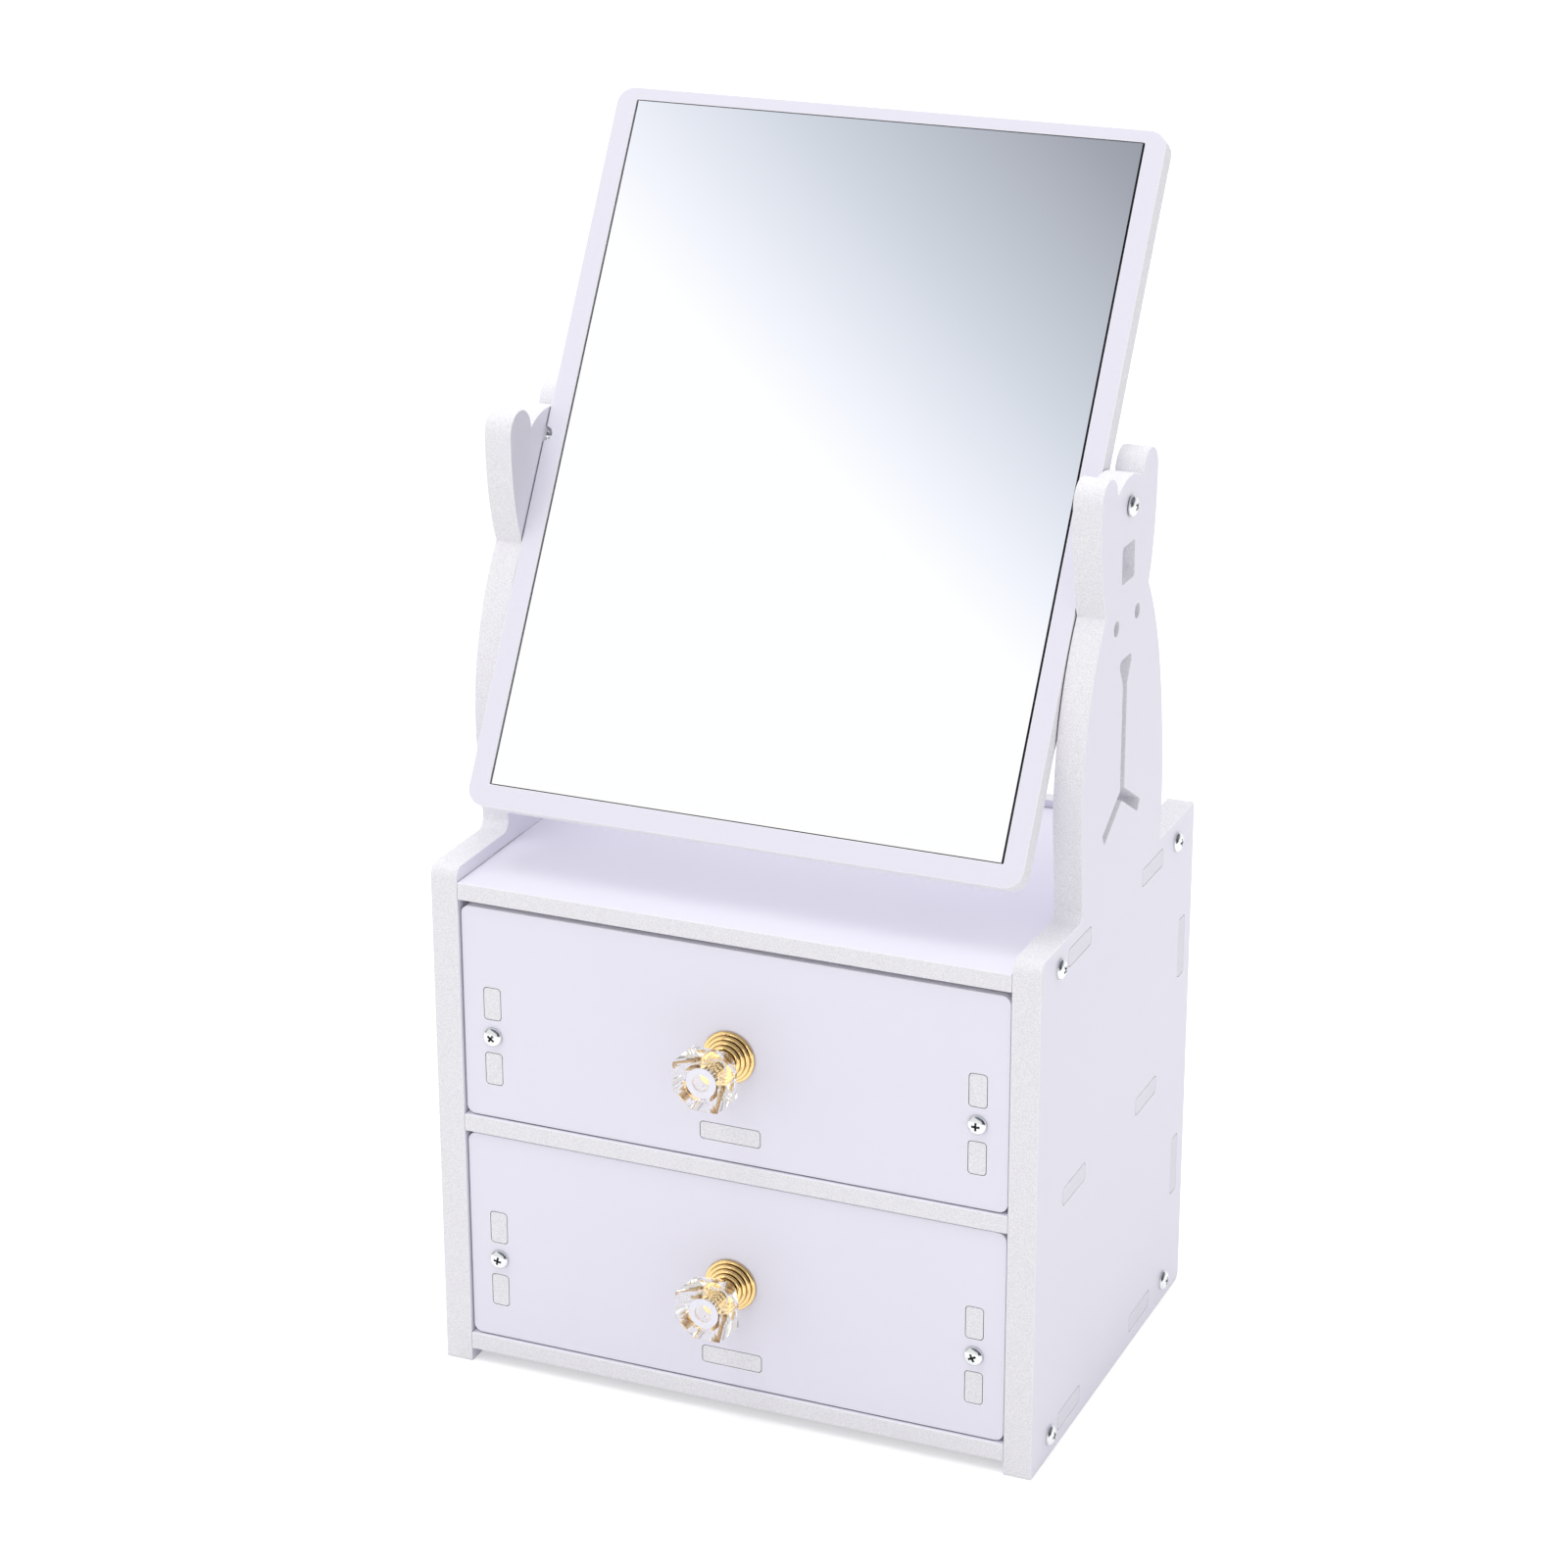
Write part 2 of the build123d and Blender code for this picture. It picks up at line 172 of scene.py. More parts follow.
# %% A tree that takes nodes
class Tree:
    """A node tree that is being filled."""

    def __init__(self, node_tree):
        self.nodes = node_tree.nodes
        self.links = node_tree.links
        self.nodes.clear()

    def node(self, kind, inputs=None, output=0, stops=None, **settings):
        """Adds a node: settings first, then a value or a link for each socket, and gives one output."""
        made = self.nodes.new(kind)
        for name, value in settings.items():
            setattr(made, name, value)
        if stops:
            ramp = made.color_ramp.elements
            while len(ramp) < len(stops):
                ramp.new(0.5)
            for element, (place, colour) in zip(ramp, stops):
                element.position = place
                element.color = (*colour, 1)
        for key, value in (inputs or {}).items():
            if isinstance(value, Signal):
                self.links.new(value.socket, made.inputs[key])
            else:
                made.inputs[key].default_value = value
        return Signal(self, made.outputs[output]) if len(made.outputs) else made

    def mix(self, share, first, second):
        """Blends two colours; share 0 is the first."""
        first, second = [(*c, 1) if isinstance(c, tuple) else c for c in (first, second)]
        inputs = {0: share, 6: first, 7: second}
        return self.node("ShaderNodeMix", inputs, output=2, data_type="RGBA")

    def dot(self, vector, direction):
        inputs = {0: vector, 1: tuple(direction)}
        return self.node("ShaderNodeVectorMath", inputs, output="Value", operation="DOT_PRODUCT")

    def noise(self, place, size, detail=2.0, roughness=0.5):
        """Soft random values near 0.5, with lumps of about this size in metres."""
        inputs = {"Vector": place, "Scale": 1 / size, "Detail": detail, "Roughness": roughness}
        return self.node("ShaderNodeTexNoise", inputs)

    def open_air(self, reach, own=False):
        """1 in the open, less where a surface is within this reach; own counts just the same object."""
        inputs = {"Distance": reach}
        return self.node("ShaderNodeAmbientOcclusion", inputs, output="AO", samples=4, only_local=own)

    def bump(self, height, distance, strength=1.0):
        inputs = {"Height": height, "Distance": distance, "Strength": strength}
        return self.node("ShaderNodeBump", inputs)

    def surface(self, **sockets):
        """The shader every finish here is made with; base_color=... sets the socket Base Color."""
        inputs = {}
        for name, value in sockets.items():
            inputs[name.replace("_", " ").title().replace("Ior", "IOR")] = value
        return self.node("ShaderNodeBsdfPrincipled", inputs)


def new_finish(name):
    material = bpy.data.materials.new(name)
    material.use_nodes = True
    return material, Tree(material.node_tree)


# %% [markdown]
# ## Light, and what the mirror sees
# The studio is a white tent: light comes from all sides, a little less from the right. A mirror shows
# whatever stands where it looks, and this one looks up past the camera's left shoulder, where the tent
# turns from white to a blue grey overhead. So the world gives out plain light, but a glossy ray is
# answered with that gradient. Bright metal needs something dark to reflect too, so dark cloths hang to
# the right, to the left and low in front. Clear plastic sees the same tent, only paler.

# %% Put up the tent
tent_light = 0.95
right_loss = 0.10  # how much less comes from straight right, and how much more from straight left
tent_turn = Vector((-0.3685, 0, -0.9296))  # the gradient's direction, towards white
tent_slope = 7.0
tent_offset = 4.19
tent_stops = [
    (0.10, (0.17, 0.18, 0.21)),
    (0.38, (0.361, 0.381, 0.44)),
    (0.66, (0.617, 0.658, 0.73)),
    (0.90, (0.888, 0.908, 0.985)),
    (1.00, (1.0, 1.0, 1.0)),
]
cloths = [  # the way to the middle of each, then the cosines where it starts and where it is full
    ((0.86, -0.45, 0.05), 0.72, 0.90),
    ((-0.93, 0.30, 0.20), 0.80, 0.93),
    ((0.30, -0.80, -0.50), 0.88, 0.97),
]
cloth_colour = (0.05, 0.05, 0.06)
clear_contrast = 0.75  # how much of the gradient clear plastic sees

world = bpy.data.worlds.new("studio")
bpy.context.scene.world = world
world.use_nodes = True
tree = Tree(world.node_tree)
way = tree.node("ShaderNodeTexCoord", output="Generated")
height = tree.dot(way, tent_turn) * tent_slope + tent_offset
reflected = tree.node("ShaderNodeValToRGB", {0: height}, stops=tent_stops)
for middle, start, full in cloths:
    near = tree.dot(way, Vector(middle).normalized())
    cover = tree.node(
        "ShaderNodeMapRange", {0: near, 1: start, 2: full, 3: 0.0, 4: 1.0}, interpolation_type="SMOOTHSTEP"
    )
    reflected = tree.mix(cover, reflected, cloth_colour)
through = tree.mix(clear_contrast, (1, 1, 1), reflected)
ray = tree.nodes.new("ShaderNodeLightPath")
plain = tent_light - tree.dot(way, (1, 0, 0)) * right_loss
answer = tree.mix(Signal(tree, ray.outputs["Is Camera Ray"]), plain, (1, 1, 1))
answer = tree.mix(Signal(tree, ray.outputs["Is Glossy Ray"]), answer, reflected)
answer = tree.mix(Signal(tree, ray.outputs["Is Transmission Ray"]), answer, through)
sky = tree.node("ShaderNodeBackground", {"Color": answer})
tree.node("ShaderNodeOutputWorld", {"Surface": sky})
print("The tent has", len(cloths), "dark cloths")

# %% [markdown]
# ## Lamps
# A tent alone leaves the shelf under the mirror dull. One large soft lamp hangs high in front of the
# object and one high behind it, and both look at its middle. They are kept out of reflections, because a
# mirror would show them as bright discs.

# %% Hang the lamps
lamp_aim = (0, 0, 0.15)


def lamp(name, spot, size, power):
    light = bpy.data.lights.new(name, "AREA")
    light.shape = "DISK"
    light.size = size
    light.energy = power
    holder = bpy.data.objects.new(name, light)
    bpy.context.scene.collection.objects.link(holder)
    turn = (Vector(spot) - Vector(lamp_aim)).to_track_quat("Z", "Y").to_matrix().to_4x4()
    holder.matrix_world = Matrix.Translation(spot) @ turn
    holder.visible_glossy = False


lamp("high_front_lamp", (-0.35, -0.75, 2.15), size=1.0, power=9.0)
lamp("high_back_lamp", (-0.15, 0.80, 1.80), size=0.8, power=7.0)
print("Lamps:", len(bpy.data.lights))

# %% [markdown]
# ## The floor
# White paper under the object and far behind it. The camera should see it as pure white, yet with the
# object's shadow, so the paper reflects most of the light and gives out the rest by itself, for the
# camera and for reflections only. That way it adds no light to the object.

# %% Lay the floor
floor_reach = 12.0
paper_tones = ((0.79, 0.79, 0.79), (0.81, 0.81, 0.81))
paper_glow = 0.4
paper, tree = new_finish("white_paper")
ray = tree.nodes.new("ShaderNodeLightPath")
seen = Signal(tree, ray.outputs["Is Camera Ray"]) + Signal(tree, ray.outputs["Is Glossy Ray"])
seen = seen + Signal(tree, ray.outputs["Is Transmission Ray"])
grain = tree.noise(tree.node("ShaderNodeTexCoord", output="Object"), 2 * mm)
diffuse = tree.node("ShaderNodeBsdfDiffuse", {"Color": tree.mix(grain, *paper_tones)})
glow = tree.node("ShaderNodeEmission", {"Color": (1, 1, 1, 1), "Strength": seen * paper_glow})
both = tree.node("ShaderNodeAddShader", {0: diffuse, 1: glow})
tree.node("ShaderNodeOutputMaterial", {"Surface": both})

shape = bmesh.new()
bmesh.ops.create_grid(shape, x_segments=2, y_segments=2, size=floor_reach)
floor = bpy.data.objects.new("floor", bpy.data.meshes.new("floor"))
shape.to_mesh(floor.data)
shape.free()
floor.data.materials.append(paper)
bpy.context.scene.collection.objects.link(floor)
floor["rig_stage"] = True
print("Floor laid:", [round(side, 1) for side in floor.dimensions], "m")

# %% [markdown]
# ## Foam board
# The board is foamed plastic with a dense, faintly violet skin on both faces. Where the router cut it,
# the foam is open: whiter, duller, and full of pores a third of a millimetre across. A single material
# can tell the two apart by the direction a face looks in, because a sheet's skins look along its
# thickness and its cuts look sideways. So each sheet direction gets one material from one function.
# Ambient Occlusion finds the places where another surface is within half a millimetre, and painted shade
# darkens the colour there, which draws the thin lines that one sees round a tab in its slot.

# %% Make the foam board finish
skin_colour = (0.800, 0.783, 0.880)
cut_light = (0.90, 0.89, 0.92)
cut_dark = (0.74, 0.73, 0.78)
painted_arris_highlight = (0.92, 0.91, 0.95)
pore_size = 0.35 * mm
crevice_reach = 0.5 * mm
painted_crevice_shade = (0.30, 0.29, 0.33)
ledge_colour = (0.03, 0.03, 0.035)
skin_steep = 0.8  # cosine from which a face counts as skin
# The level boards' skin is painted 5 % lighter, painted light that lifts the shade under the mirror; the
# mirror's board is painted 6 % darker, painted shade. All are one board.
shelf_painted_light = 1.05
mirror_board_painted_shade = 0.94
tab_sanding = 0.7


def foam_board(name, across, pocket=None, shade=1.0, sanded=0.0):
    """Board whose thickness runs along `across`.

    A pocket is (height of the face, depth from which it is dark). The ends of tabs, which look along X,
    are sanded flush with the side panels, and take this much of the skin's colour.
    """
    material, tree = new_finish(name)
    place = tree.node("ShaderNodeTexCoord", output="Object")
    looks = tree.dot(tree.node("ShaderNodeTexCoord", output="Normal"), across)
    steep = looks.math("ABSOLUTE", looks)
    skin = steep > skin_steep
    arris = (steep > 0.15) * (steep < 0.97)
    cloud = tree.noise(place, 40 * mm, detail=3)
    # shade scales one sheet's skin: painted light on the level boards, painted shade on the mirror's
    # board.
    pale, deep = [tuple(c * shade * k for c in skin_colour) for k in (1.008, 0.992)]
    skin_tone = tree.mix(cloud, deep, pale)
    pores = tree.noise(place, pore_size, detail=4, roughness=0.65)
    light = tree.node("ShaderNodeMapRange", {0: pores, 1: 0.36, 2: 0.60, 3: 0.0, 4: 1.0})
    cut_tone = tree.mix(light, cut_dark, cut_light)
    if sanded:
        sideways = tree.dot(tree.node("ShaderNodeTexCoord", output="Normal"), (1, 0, 0))
        flush = sideways.math("ABSOLUTE", sideways) > 0.9
        cut_tone = tree.mix(flush * sanded, cut_tone, skin_tone)
    colour = tree.mix(skin, cut_tone, skin_tone)
    # Painted highlight: the arris between skin and cut is tinted lighter, as if it caught the light.
    colour = tree.mix(arris * 0.6, colour, painted_arris_highlight)
    if pocket:
        face, depth = pocket
        below = (face - tree.dot(place, across)) > depth
        ledge = below * (looks > skin_steep)
        colour = tree.mix(ledge, colour, ledge_colour)
    # Painted shade: the colour turns dark grey where another surface is near, in the gaps round tabs and
    # slots.
    open_air = tree.open_air(crevice_reach)
    crevice_shade_share = tree.node("ShaderNodeMapRange", {0: open_air, 1: 0.75, 2: 0.25, 3: 0.0, 4: 1.0})
    colour = tree.mix(crevice_shade_share, colour, painted_crevice_shade)
    texture = (1 - skin) * pores + skin * tree.noise(place, 1.2 * mm) * 0.1
    shader = tree.surface(
        base_color=colour,
        roughness=0.78 - skin * 0.30,
        normal=tree.bump(texture, 0.2 * mm, 0.8),
    )
    tree.node("ShaderNodeOutputMaterial", {"Surface": shader})
    return material


side_board = foam_board("side_board", (1, 0, 0))
front_board = foam_board("front_board", (0, 1, 0), sanded=tab_sanding)
level_board = foam_board("level_board", (0, 0, 1), shade=shelf_painted_light, sanded=tab_sanding)
print("Board finishes:", side_board.name, front_board.name, level_board.name)

# %% [markdown]
# ## Easing the edges
# No real edge is perfectly sharp: the router leaves a fine arris that catches the light, and around each
# tab it makes the joint visible. The CAD meshes come as loose triangles, so a Weld joins them, Decimate
# clears the triangles from flat faces, and a Bevel rounds what is still sharp. Loop slide is off in the
# Bevel, because it turns a sliver over beside the slots of the side panel. Modifiers leave the CAD mesh
# itself alone.

# %% Dress the boards
arris_width = 0.22 * mm
weld_reach = 0.002 * mm
flat_angle = radians(1)
sharp_angle = radians(35)


def ease_edges(part):
    weld = part.modifiers.new("join", "WELD")
    weld.merge_threshold = weld_reach
    flat = part.modifiers.new("clear_flats", "DECIMATE")
    flat.decimate_type = "DISSOLVE"
    flat.angle_limit = flat_angle
    soft = part.modifiers.new("arris", "BEVEL")
    soft.width = arris_width
    soft.segments = 2
    soft.limit_method = "ANGLE"
    soft.angle_limit = sharp_angle
    soft.use_clamp_overlap = False
    soft.loop_slide = False
    shade = part.modifiers.new("even_shading", "WEIGHTED_NORMAL")
    shade.keep_sharp = True


def dress(name, material):
    part = nodes[name]
    part.data.materials.clear()
    part.data.materials.append(material)


boards = {
    "side_panel": side_board,
    "drawer_left_side": side_board,
    "drawer_right_side": side_board,
    "drawer_front": front_board,
    "drawer_back": front_board,
    "back_panel": front_board,
    "drawer_bottom": level_board,
    "bottom_panel": level_board,
    "shelf": level_board,
}
for name in nodes:
    for ending, material in boards.items():
        if name.endswith(ending):
            dress(name, material)
            ease_edges(nodes[name])
print("Boards dressed:", sum(len(part.modifiers) > 0 for part in nodes.values()))

# %% [markdown]
# ## The mirror
# A sheet of silvered glass is glued into a pocket in its own board. Silvering is a metal seen through a
# little glass, so a very smooth metal will do. The gap beside the glass is coloured near black: the
# glass's edge and the board's floor in the pocket. In the photograph the left post doesn't show in the
# mirror, so that post and its screw are kept out of reflections.

# %% Finish the mirror's board
ledge_depth = 0.6 * mm
largest = max(nodes["mirror_glass"].data.polygons, key=lambda face: face.area)
outward = largest.normal if largest.normal.y < 0 else -largest.normal
face_height = max(point.co.dot(outward) for point in nodes["mirror_frame"].data.vertices)
pocket = (face_height, ledge_depth)
mirror_board = foam_board("mirror_board", outward, pocket=pocket, shade=mirror_board_painted_shade)
dress("mirror_frame", mirror_board)
ease_edges(nodes["mirror_frame"])
print("The mirror leans", round(outward.angle(Vector((0, -1, 0))) * 180 / pi, 1), "degrees")

# %% Silver the glass
silvering, tree = new_finish("silvering")
place = tree.node("ShaderNodeTexCoord", output="Object")
looks = tree.dot(tree.node("ShaderNodeTexCoord", output="Normal"), outward)
edge = looks < 0.5
breath = tree.noise(place, 60 * mm, detail=2)
shader = tree.surface(
    base_color=tree.mix(edge, (0.995, 0.998, 1.0), (0.02, 0.025, 0.025)),
    metallic=1 - edge,
    roughness=0.012 + breath * 0.008 + edge * 0.3,
)
tree.node("ShaderNodeOutputMaterial", {"Surface": shader})
dress("mirror_glass", silvering)
nodes["left_side_panel"].visible_glossy = False
low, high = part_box("mirror_glass")
print("The glass spans", [round(side / mm, 1) for side in high - low], "mm")

# %% [markdown]
# ## Turned and threaded pieces
# Screw heads and knob bases are round, so each is a profile spun about its axis. A screw also needs its
# cross recess: two tapered blades are cut out of the head with Boolean modifiers, whose result is kept
# as the mesh. All screws of a size share that work. Each one is then stood on the seat that the CAD
# screw of its name has, with its head turned by a different angle, as a hand leaves it.

# %% Spin a profile
merge_reach = 0.001 * mm


def spin_profile(profile, steps):
    """A closed mesh from (radius, height) points, spun about Z."""
    shape = bmesh.new()
    points = [shape.verts.new((radius, 0, height)) for radius, height in profile]
    chain = [shape.edges.new(pair) for pair in zip(points, points[1:])]
    bmesh.ops.spin(
        shape,
        geom=points + chain,
        cent=(0, 0, 0),
        axis=(0, 0, 1),
        angle=2 * pi,
        steps=steps,
        use_merge=True,
    )
    bmesh.ops.remove_doubles(shape, verts=shape.verts, dist=merge_reach)
    bmesh.ops.recalc_face_normals(shape, faces=shape.faces)
    return shape


def to_mesh(shape, name, sharp=35):
    """Keeps a bmesh as a mesh, smooth but for edges sharper than this many degrees."""
    for face in shape.faces:
        face.smooth = True
    for edge in shape.edges:
        edge.smooth = len(edge.link_faces) == 2 and edge.calc_face_angle(0) < radians(sharp)
    mesh = bpy.data.meshes.new(name)
    shape.to_mesh(mesh)
    shape.free()
    return mesh


# %% Cut one mesh out of another
def cut_away(mesh, cutters, name):
    """The mesh less each cutter, whose faces keep the cutter's material."""
    blank = bpy.data.objects.new(name, mesh)
    bpy.context.scene.collection.objects.link(blank)
    tools = []
    for number, cutter in enumerate(cutters):
        tool = bpy.data.objects.new(f"{name}_tool_{number}", cutter)
        bpy.context.scene.collection.objects.link(tool)
        cut = blank.modifiers.new("cut", "BOOLEAN")
        cut.operation = "DIFFERENCE"
        cut.solver = "EXACT"
        cut.material_mode = "TRANSFER"
        cut.object = tool
        tools.append(tool)
    shown = blank.evaluated_get(bpy.context.evaluated_depsgraph_get())
    result = bpy.data.meshes.new_from_object(shown)
    for used in tools + [blank]:
        bpy.data.objects.remove(used)
    return result


# %% Stand a piece where a CAD node is
def seat(name):
    """Where a CAD screw stands: the tip of its head, and the way that its head looks."""
    low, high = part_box(name)
    size = high - low
    along = max(range(3), key=lambda i: size[i])
    middle = (low + high) / 2

    def off_axis(point):
        return (point.co - middle).length_squared - (point.co[along] - middle[along]) ** 2

    rim = max(nodes[name].data.vertices, key=off_axis)
    way = Vector((0, 0, 0))
    way[along] = 1 if rim.co[along] > middle[along] else -1
    tip = middle + way * size[along] / 2
    return tip, way


def stand(name, mesh, tip, way, turn):
    """Puts a piece made about Z, with its tip at the origin, in the place of a CAD node."""
    mesh = mesh.copy()
    look = way.to_track_quat("Z", "Y").to_matrix().to_4x4()
    mesh.transform(Matrix.Translation(tip) @ look @ Matrix.Rotation(turn, 4, "Z"))
    piece = bpy.data.objects.new("fine_" + name, mesh)
    bpy.context.scene.collection.objects.link(piece)
    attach(piece, nodes[name]["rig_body"])
    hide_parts(name)
    return piece


# %% [markdown]
# ### Pan head screws
# Zinc plating is a bright grey metal, a little uneven. The walls of the cross recess are painted a dark
# zinc, as painted shade. The shank carries its thread as fine ridges, which only shows in the notches
# beside the mirror.

# %% Plate them with zinc
def zinc_plate(name, dark, bright):
    material, tree = new_finish(name)
    place = tree.node("ShaderNodeTexCoord", output="Object")
    mottle = tree.noise(place, 0.8 * mm, detail=3)
    shader = tree.surface(
        base_color=tree.mix(mottle, dark, bright),
        metallic=1.0,
        roughness=0.12 + mottle * 0.14,
        normal=tree.bump(mottle, 0.01 * mm, 0.5),
    )
    tree.node("ShaderNodeOutputMaterial", {"Surface": shader})
    return material


zinc = zinc_plate("zinc_plate", (0.70, 0.72, 0.73), (0.86, 0.87, 0.87))
# Painted shade: the cross recess gets a dark zinc, where the recess would lie in shade.
recess_painted_shade_zinc = zinc_plate("recess_painted_shade_zinc", (0.10, 0.11, 0.11), (0.30, 0.31, 0.31))
print("Zinc finishes:", zinc.name, recess_painted_shade_zinc.name)

# %% Turn one screw
screw_steps = 48
dome_angles = [radians(15 * i) for i in range(7)]
dome_share = 0.75  # how much of the head's rise is domed
thread_pitch = 1.1 * mm
thread_root = 0.82  # radius at the bottom of the thread, as a share of the shank's
thread_flank = 0.7  # share of the pitch that the longer flank takes
blade_size = (1.3, 0.3, 1.6)  # length and width by the head's radius, depth by its rise
blade_taper = (0.4, 0.6, 1)


def screw_mesh(head, rise, shank, length):
    """A pan head screw with its head's top at the origin and its shank downwards."""
    dome = [(head * sin(a), rise * (cos(a) - 1) * dome_share) for a in dome_angles]
    thread = []
    for turn in range(int((length - shank) / thread_pitch)):
        top = -rise - turn * thread_pitch
        thread += [(shank, top), (shank * thread_root, top - thread_flank * thread_pitch)]
    profile = [(0, 0)] + dome[1:] + [(head, -rise)] + thread + [(0, -rise - length)]
    body = to_mesh(spin_profile(profile, screw_steps), "screw")
    body.materials.append(zinc)
    blades = []
    for quarter in (0, pi / 2):
        shape = bmesh.new()
        bmesh.ops.create_cube(shape, size=1)
        long, wide, deep = blade_size
        bmesh.ops.scale(shape, vec=(long * head, wide * head, deep * rise), verts=shape.verts)
        point = [corner for corner in shape.verts if corner.co.z < 0]
        bmesh.ops.scale(shape, vec=blade_taper, verts=point)
        quarter_turn = Matrix.Rotation(quarter, 3, "Z")
        bmesh.ops.rotate(shape, cent=(0, 0, 0), matrix=quarter_turn, verts=shape.verts)
        blade = to_mesh(shape, "blade")
        blade.materials.append(recess_painted_shade_zinc)
        blades.append(blade)
    return cut_away(body, blades, "screw")


# %% Stand every screw in its seat
wood_screws = [name for name in nodes if name.endswith("_screw") and "knob" not in name]
bolts = [name for name in nodes if name.endswith("knob_screw")]
screw_kinds = [  # the screws, then the head's radius, its rise and the shank's radius in millimetres
    (wood_screws, 2.75, 1.7, 1.45),
    (bolts, 3.8, 2.2, 1.95),
]
turn_step = 37  # degrees from one head to the next
for group, head, rise, shank in screw_kinds:
    lengths = {}
    for number, name in enumerate(sorted(group)):
        tip, way = seat(name)
        low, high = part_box(name)
        length = round(max(high - low) - rise * mm, 5)
        if length not in lengths:
            lengths[length] = screw_mesh(head * mm, rise * mm, shank * mm, length)
        piece = stand(name, lengths[length], tip, way, radians(turn_step * number))
        if name == "left_pivot_screw":
            piece.visible_glossy = False
print("Screws turned:", len(wood_screws) + len(bolts))

# %% [markdown]
# ## Knob bases
# Each drawer knob stands on a stack of beads, turned from brass and polished. Every bead is half round,
# so a loop of arcs makes the profile. A knurled stud carries the crystal: it is a circle with every
# second corner pulled in, extruded along the axis. Polished metal gets its look from what it reflects;
# the finish adds the faint wiping marks that polishing leaves, and painted shade in the grooves.

# %% Polish the brass
brass_deep = (0.84, 0.55, 0.21)
brass_pale = (0.97, 0.74, 0.38)
painted_groove_shade = (0.16, 0.08, 0.02)
groove_reach = 0.6 * mm
brass, tree = new_finish("polished_brass")
place = tree.node("ShaderNodeTexCoord", output="Object")
wipe = tree.noise(place, 0.6 * mm, detail=3)
open_air = tree.open_air(groove_reach, own=True)
# Painted shade: the colour turns dark brown where the brass's own beads crowd close, in the grooves.
groove_shade_share = tree.node("ShaderNodeMapRange", {0: open_air, 1: 0.85, 2: 0.45, 3: 0.0, 4: 0.9})
wiped = tree.mix(wipe, brass_deep, brass_pale)
shader = tree.surface(
    base_color=tree.mix(groove_shade_share, wiped, painted_groove_shade),
    metallic=1.0,
    roughness=0.06 + wipe * 0.08,
)
tree.node("ShaderNodeOutputMaterial", {"Surface": shader})
print("Brass is mixed from", brass_deep, "and", brass_pale)

# %% Shape a brass base
bead_count = 5
bead_pitch = 0.95 * mm
flange_radius = 7.5 * mm
neck_radius = 3.6 * mm
stud_radius = 2.4 * mm
stud_length = 8.6 * mm
knurl_depth = 0.25 * mm
knurl_corners = 64
arc_steps = 8
base_steps = 96


def base_mesh(height):
    """Beads from the drawer's face up to the neck, and a knurled stud; the origin is at the knob's tip."""
    profile = [(0, -height)]
    for bead in range(bead_count):
        edge = flange_radius - bead * (flange_radius - neck_radius) / (bead_count - 1)
        middle = (bead + 0.5) * bead_pitch - height
        for step in range(arc_steps + 1):
            angle = pi * (step / arc_steps - 0.5)
            radius = edge + bead_pitch / 2 * (cos(angle) - 1)
            profile.append((radius, middle + bead_pitch / 2 * sin(angle)))
    neck = bead_count * bead_pitch - height
    shape = spin_profile(profile + [(0, neck)], base_steps)
    circle = bmesh.ops.create_circle(shape, cap_ends=True, radius=stud_radius, segments=knurl_corners)
    knurl = circle["verts"]
    narrow = 1 - knurl_depth / stud_radius
    bmesh.ops.scale(shape, vec=(narrow, narrow, 1), verts=knurl[::2])
    bmesh.ops.translate(shape, vec=(0, 0, neck - bead_pitch / 4), verts=knurl)
    foot = [face for face in shape.faces if len(face.verts) == knurl_corners]
    end = bmesh.ops.extrude_face_region(shape, geom=foot, use_keep_orig=True)["geom"]
    raised = [corner for corner in end if isinstance(corner, bmesh.types.BMVert)]
    bmesh.ops.translate(shape, vec=(0, 0, stud_length + bead_pitch / 4), verts=raised)
    bmesh.ops.recalc_face_normals(shape, faces=shape.faces)
    return to_mesh(shape, "knob_base", sharp=50)


# %% Stand the bases on the drawers
def knob_tip(level):
    """The front of a knob, in the middle."""
    low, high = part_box(f"{level}_knob_crystal")
    return Vector(((low.x + high.x) / 2, low.y, (low.z + high.z) / 2))


to_front = Vector((0, -1, 0))
for level in ("upper", "lower"):
    tip = knob_tip(level)
    mesh = base_mesh(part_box(f"{level}_knob_base")[1].y - tip.y)
    mesh.materials.append(brass)
    stand(f"{level}_knob_base", mesh, tip, to_front, 0)
    print(level, "knob base:", len(mesh.polygons), "faces")

# %% [markdown]
# ## Cut crystal
# The knobs are clear acrylic, cut like a gem: a round blank, from which every facet takes one flat cut.
# bisect_plane does just that, row by row. A blind hole for the stud runs deeper than the stud itself, and
# light that meets its wall from inside the plastic is thrown back whole, so the empty end of the hole
# shines like silver round the gold. Inside a gem a ray may bounce more often than the renderer follows,
# and would end black there. Such a ray is given the pale grey that it would find in the end. A frosted
# ring lies on the front of the gem, round the end of the hole.

# %% Make the crystal clear
ray_limit = 3.5
lost_colour = (0.70, 0.68, 0.67, 1)
crystal, tree = new_finish("clear_crystal")
place = tree.node("ShaderNodeTexCoord", output="Object")
flaw = tree.noise(place, 3 * mm, detail=2)
clear = tree.surface(
    base_color=(1.0, 0.995, 0.985, 1),
    roughness=flaw * 0.02,
    transmission_weight=1.0,
    ior=1.50,
)
ray = tree.nodes.new("ShaderNodeLightPath")
lost = Signal(tree, ray.outputs["Glossy Depth"]) > ray_limit
ending = tree.node("ShaderNodeEmission", {"Color": lost_colour})
shader = tree.node("ShaderNodeMixShader", {0: lost, 1: clear, 2: ending})
passing = tree.node("ShaderNodeBsdfTransparent", {"Color": (0.97, 0.97, 0.97, 1)})
shadow = Signal(tree, ray.outputs["Is Shadow Ray"])
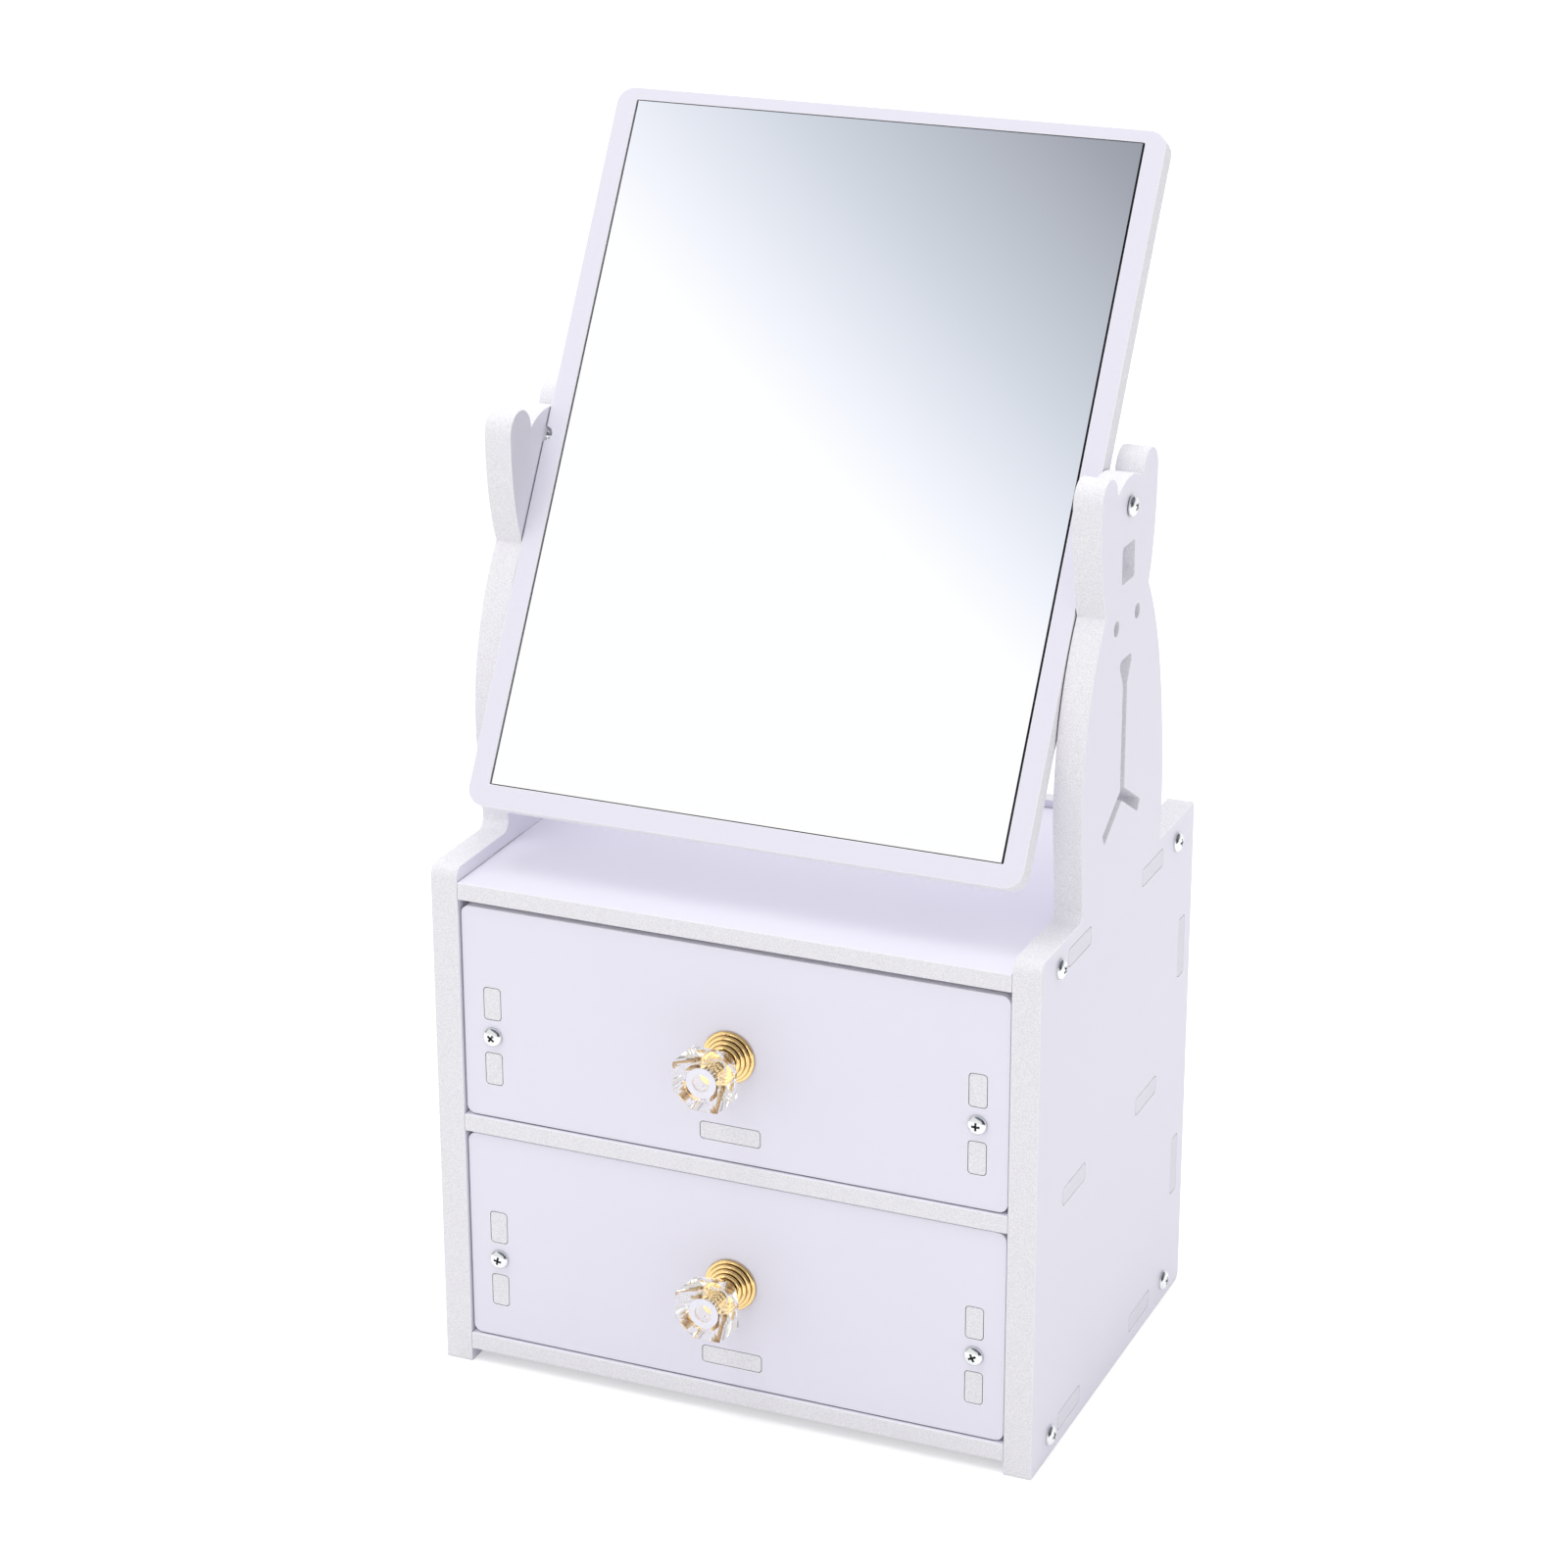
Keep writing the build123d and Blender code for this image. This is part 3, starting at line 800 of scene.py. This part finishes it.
shader = tree.node("ShaderNodeMixShader", {0: shadow, 1: shader, 2: passing})
tree.node("ShaderNodeOutputMaterial", {"Surface": shader})
print("Clear plastic follows", int(ray_limit), "reflections")

# %% Frost the ring
frost, tree = new_finish("frosted_ring")
place = tree.node("ShaderNodeTexCoord", output="Object")
haze = tree.noise(place, 0.5 * mm)
shader = tree.surface(
    base_color=tree.mix(haze, (0.80, 0.79, 0.88), (0.90, 0.89, 0.96)),
    roughness=0.35 + haze * 0.2,
)
tree.node("ShaderNodeOutputMaterial", {"Surface": shader})
print("Ring finish:", frost.name)

# %% Cut a gem
facets = 8
blank_steps = 128
hole_steps = 64
girdle = 9.05 * mm
girdle_corner = 9.7 * mm
girdle_band = 1.2 * mm
pavilion = 10.6 * mm
hole_radius = 2.6 * mm
hole_cover = 1.0 * mm
ring_inner = 2.5 * mm
ring_outer = 4.3 * mm
ring_rise = 0.3 * mm
ring_sink = 0.1 * mm
rows = [  # height from the back, distance from the axis, slope in degrees, turn in facets
    (pavilion, girdle, 0, 0),
    (pavilion + girdle_band, girdle, 68.0, 0),
    (pavilion + girdle_band, girdle_corner, 71.0, 0.5),
    (pavilion, girdle, -26.5, 0),
    (pavilion, girdle_corner, -28.5, 0.5),
]


def crystal_mesh(whole):
    """A gem with a blind hole from its back and a ring on its front, which ends at the origin."""
    length = whole - ring_rise
    shape = bmesh.new()
    bmesh.ops.create_cone(
        shape,
        cap_ends=True,
        segments=blank_steps,
        radius1=girdle_corner,
        radius2=girdle_corner,
        depth=length,
    )
    bmesh.ops.translate(shape, vec=(0, 0, length / 2), verts=shape.verts)
    for height, reach, slope, turn in rows:
        for facet in range(facets):
            angle = 2 * pi * (facet + turn) / facets
            spoke = Vector((cos(angle), sin(angle), 0))
            normal = spoke * cos(radians(slope)) + Vector((0, 0, sin(radians(slope))))
            cut = bmesh.ops.bisect_plane(
                shape,
                geom=shape.verts[:] + shape.edges[:] + shape.faces[:],
                plane_co=spoke * reach + Vector((0, 0, height)),
                plane_no=normal,
                clear_outer=True,
            )
            rim = [edge for edge in cut["geom_cut"] if isinstance(edge, bmesh.types.BMEdge)]
            bmesh.ops.contextual_create(shape, geom=rim)
    bmesh.ops.translate(shape, vec=(0, 0, -whole), verts=shape.verts)
    bmesh.ops.remove_doubles(shape, verts=shape.verts, dist=merge_reach)
    bmesh.ops.recalc_face_normals(shape, faces=shape.faces)
    gem = to_mesh(shape, "crystal", sharp=1)
    back = -whole - mm
    hole_profile = [(0, back), (hole_radius, back), (hole_radius, -hole_cover), (0, -hole_cover)]
    hole = to_mesh(spin_profile(hole_profile, hole_steps), "hole")
    bored = cut_away(gem, [hole], "crystal")
    foot = -ring_rise - ring_sink
    corners = [(ring_inner, 0), (ring_outer, 0), (ring_outer, foot), (ring_inner, foot), (ring_inner, 0)]
    shape = spin_profile(corners, hole_steps)
    for face in shape.faces:
        face.material_index = 1
    shape.from_mesh(bored)
    return to_mesh(shape, "crystal", sharp=1)


# %% Set the crystals
for level in ("upper", "lower"):
    low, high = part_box(f"{level}_knob_crystal")
    mesh = crystal_mesh(high.y - low.y)
    mesh.materials.append(crystal)
    mesh.materials.append(frost)
    stand(f"{level}_knob_crystal", mesh, knob_tip(level), to_front, 0)
    print(level, "crystal:", len(mesh.polygons), "faces")

# %% [markdown]
# ## Measure and finish
# The dressed object must not outgrow its solids, so its box is measured and its size printed.

# %% Print the dressed size
low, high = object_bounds()
print("Dressed size", [round(side / mm, 2) for side in high - low], "mm")
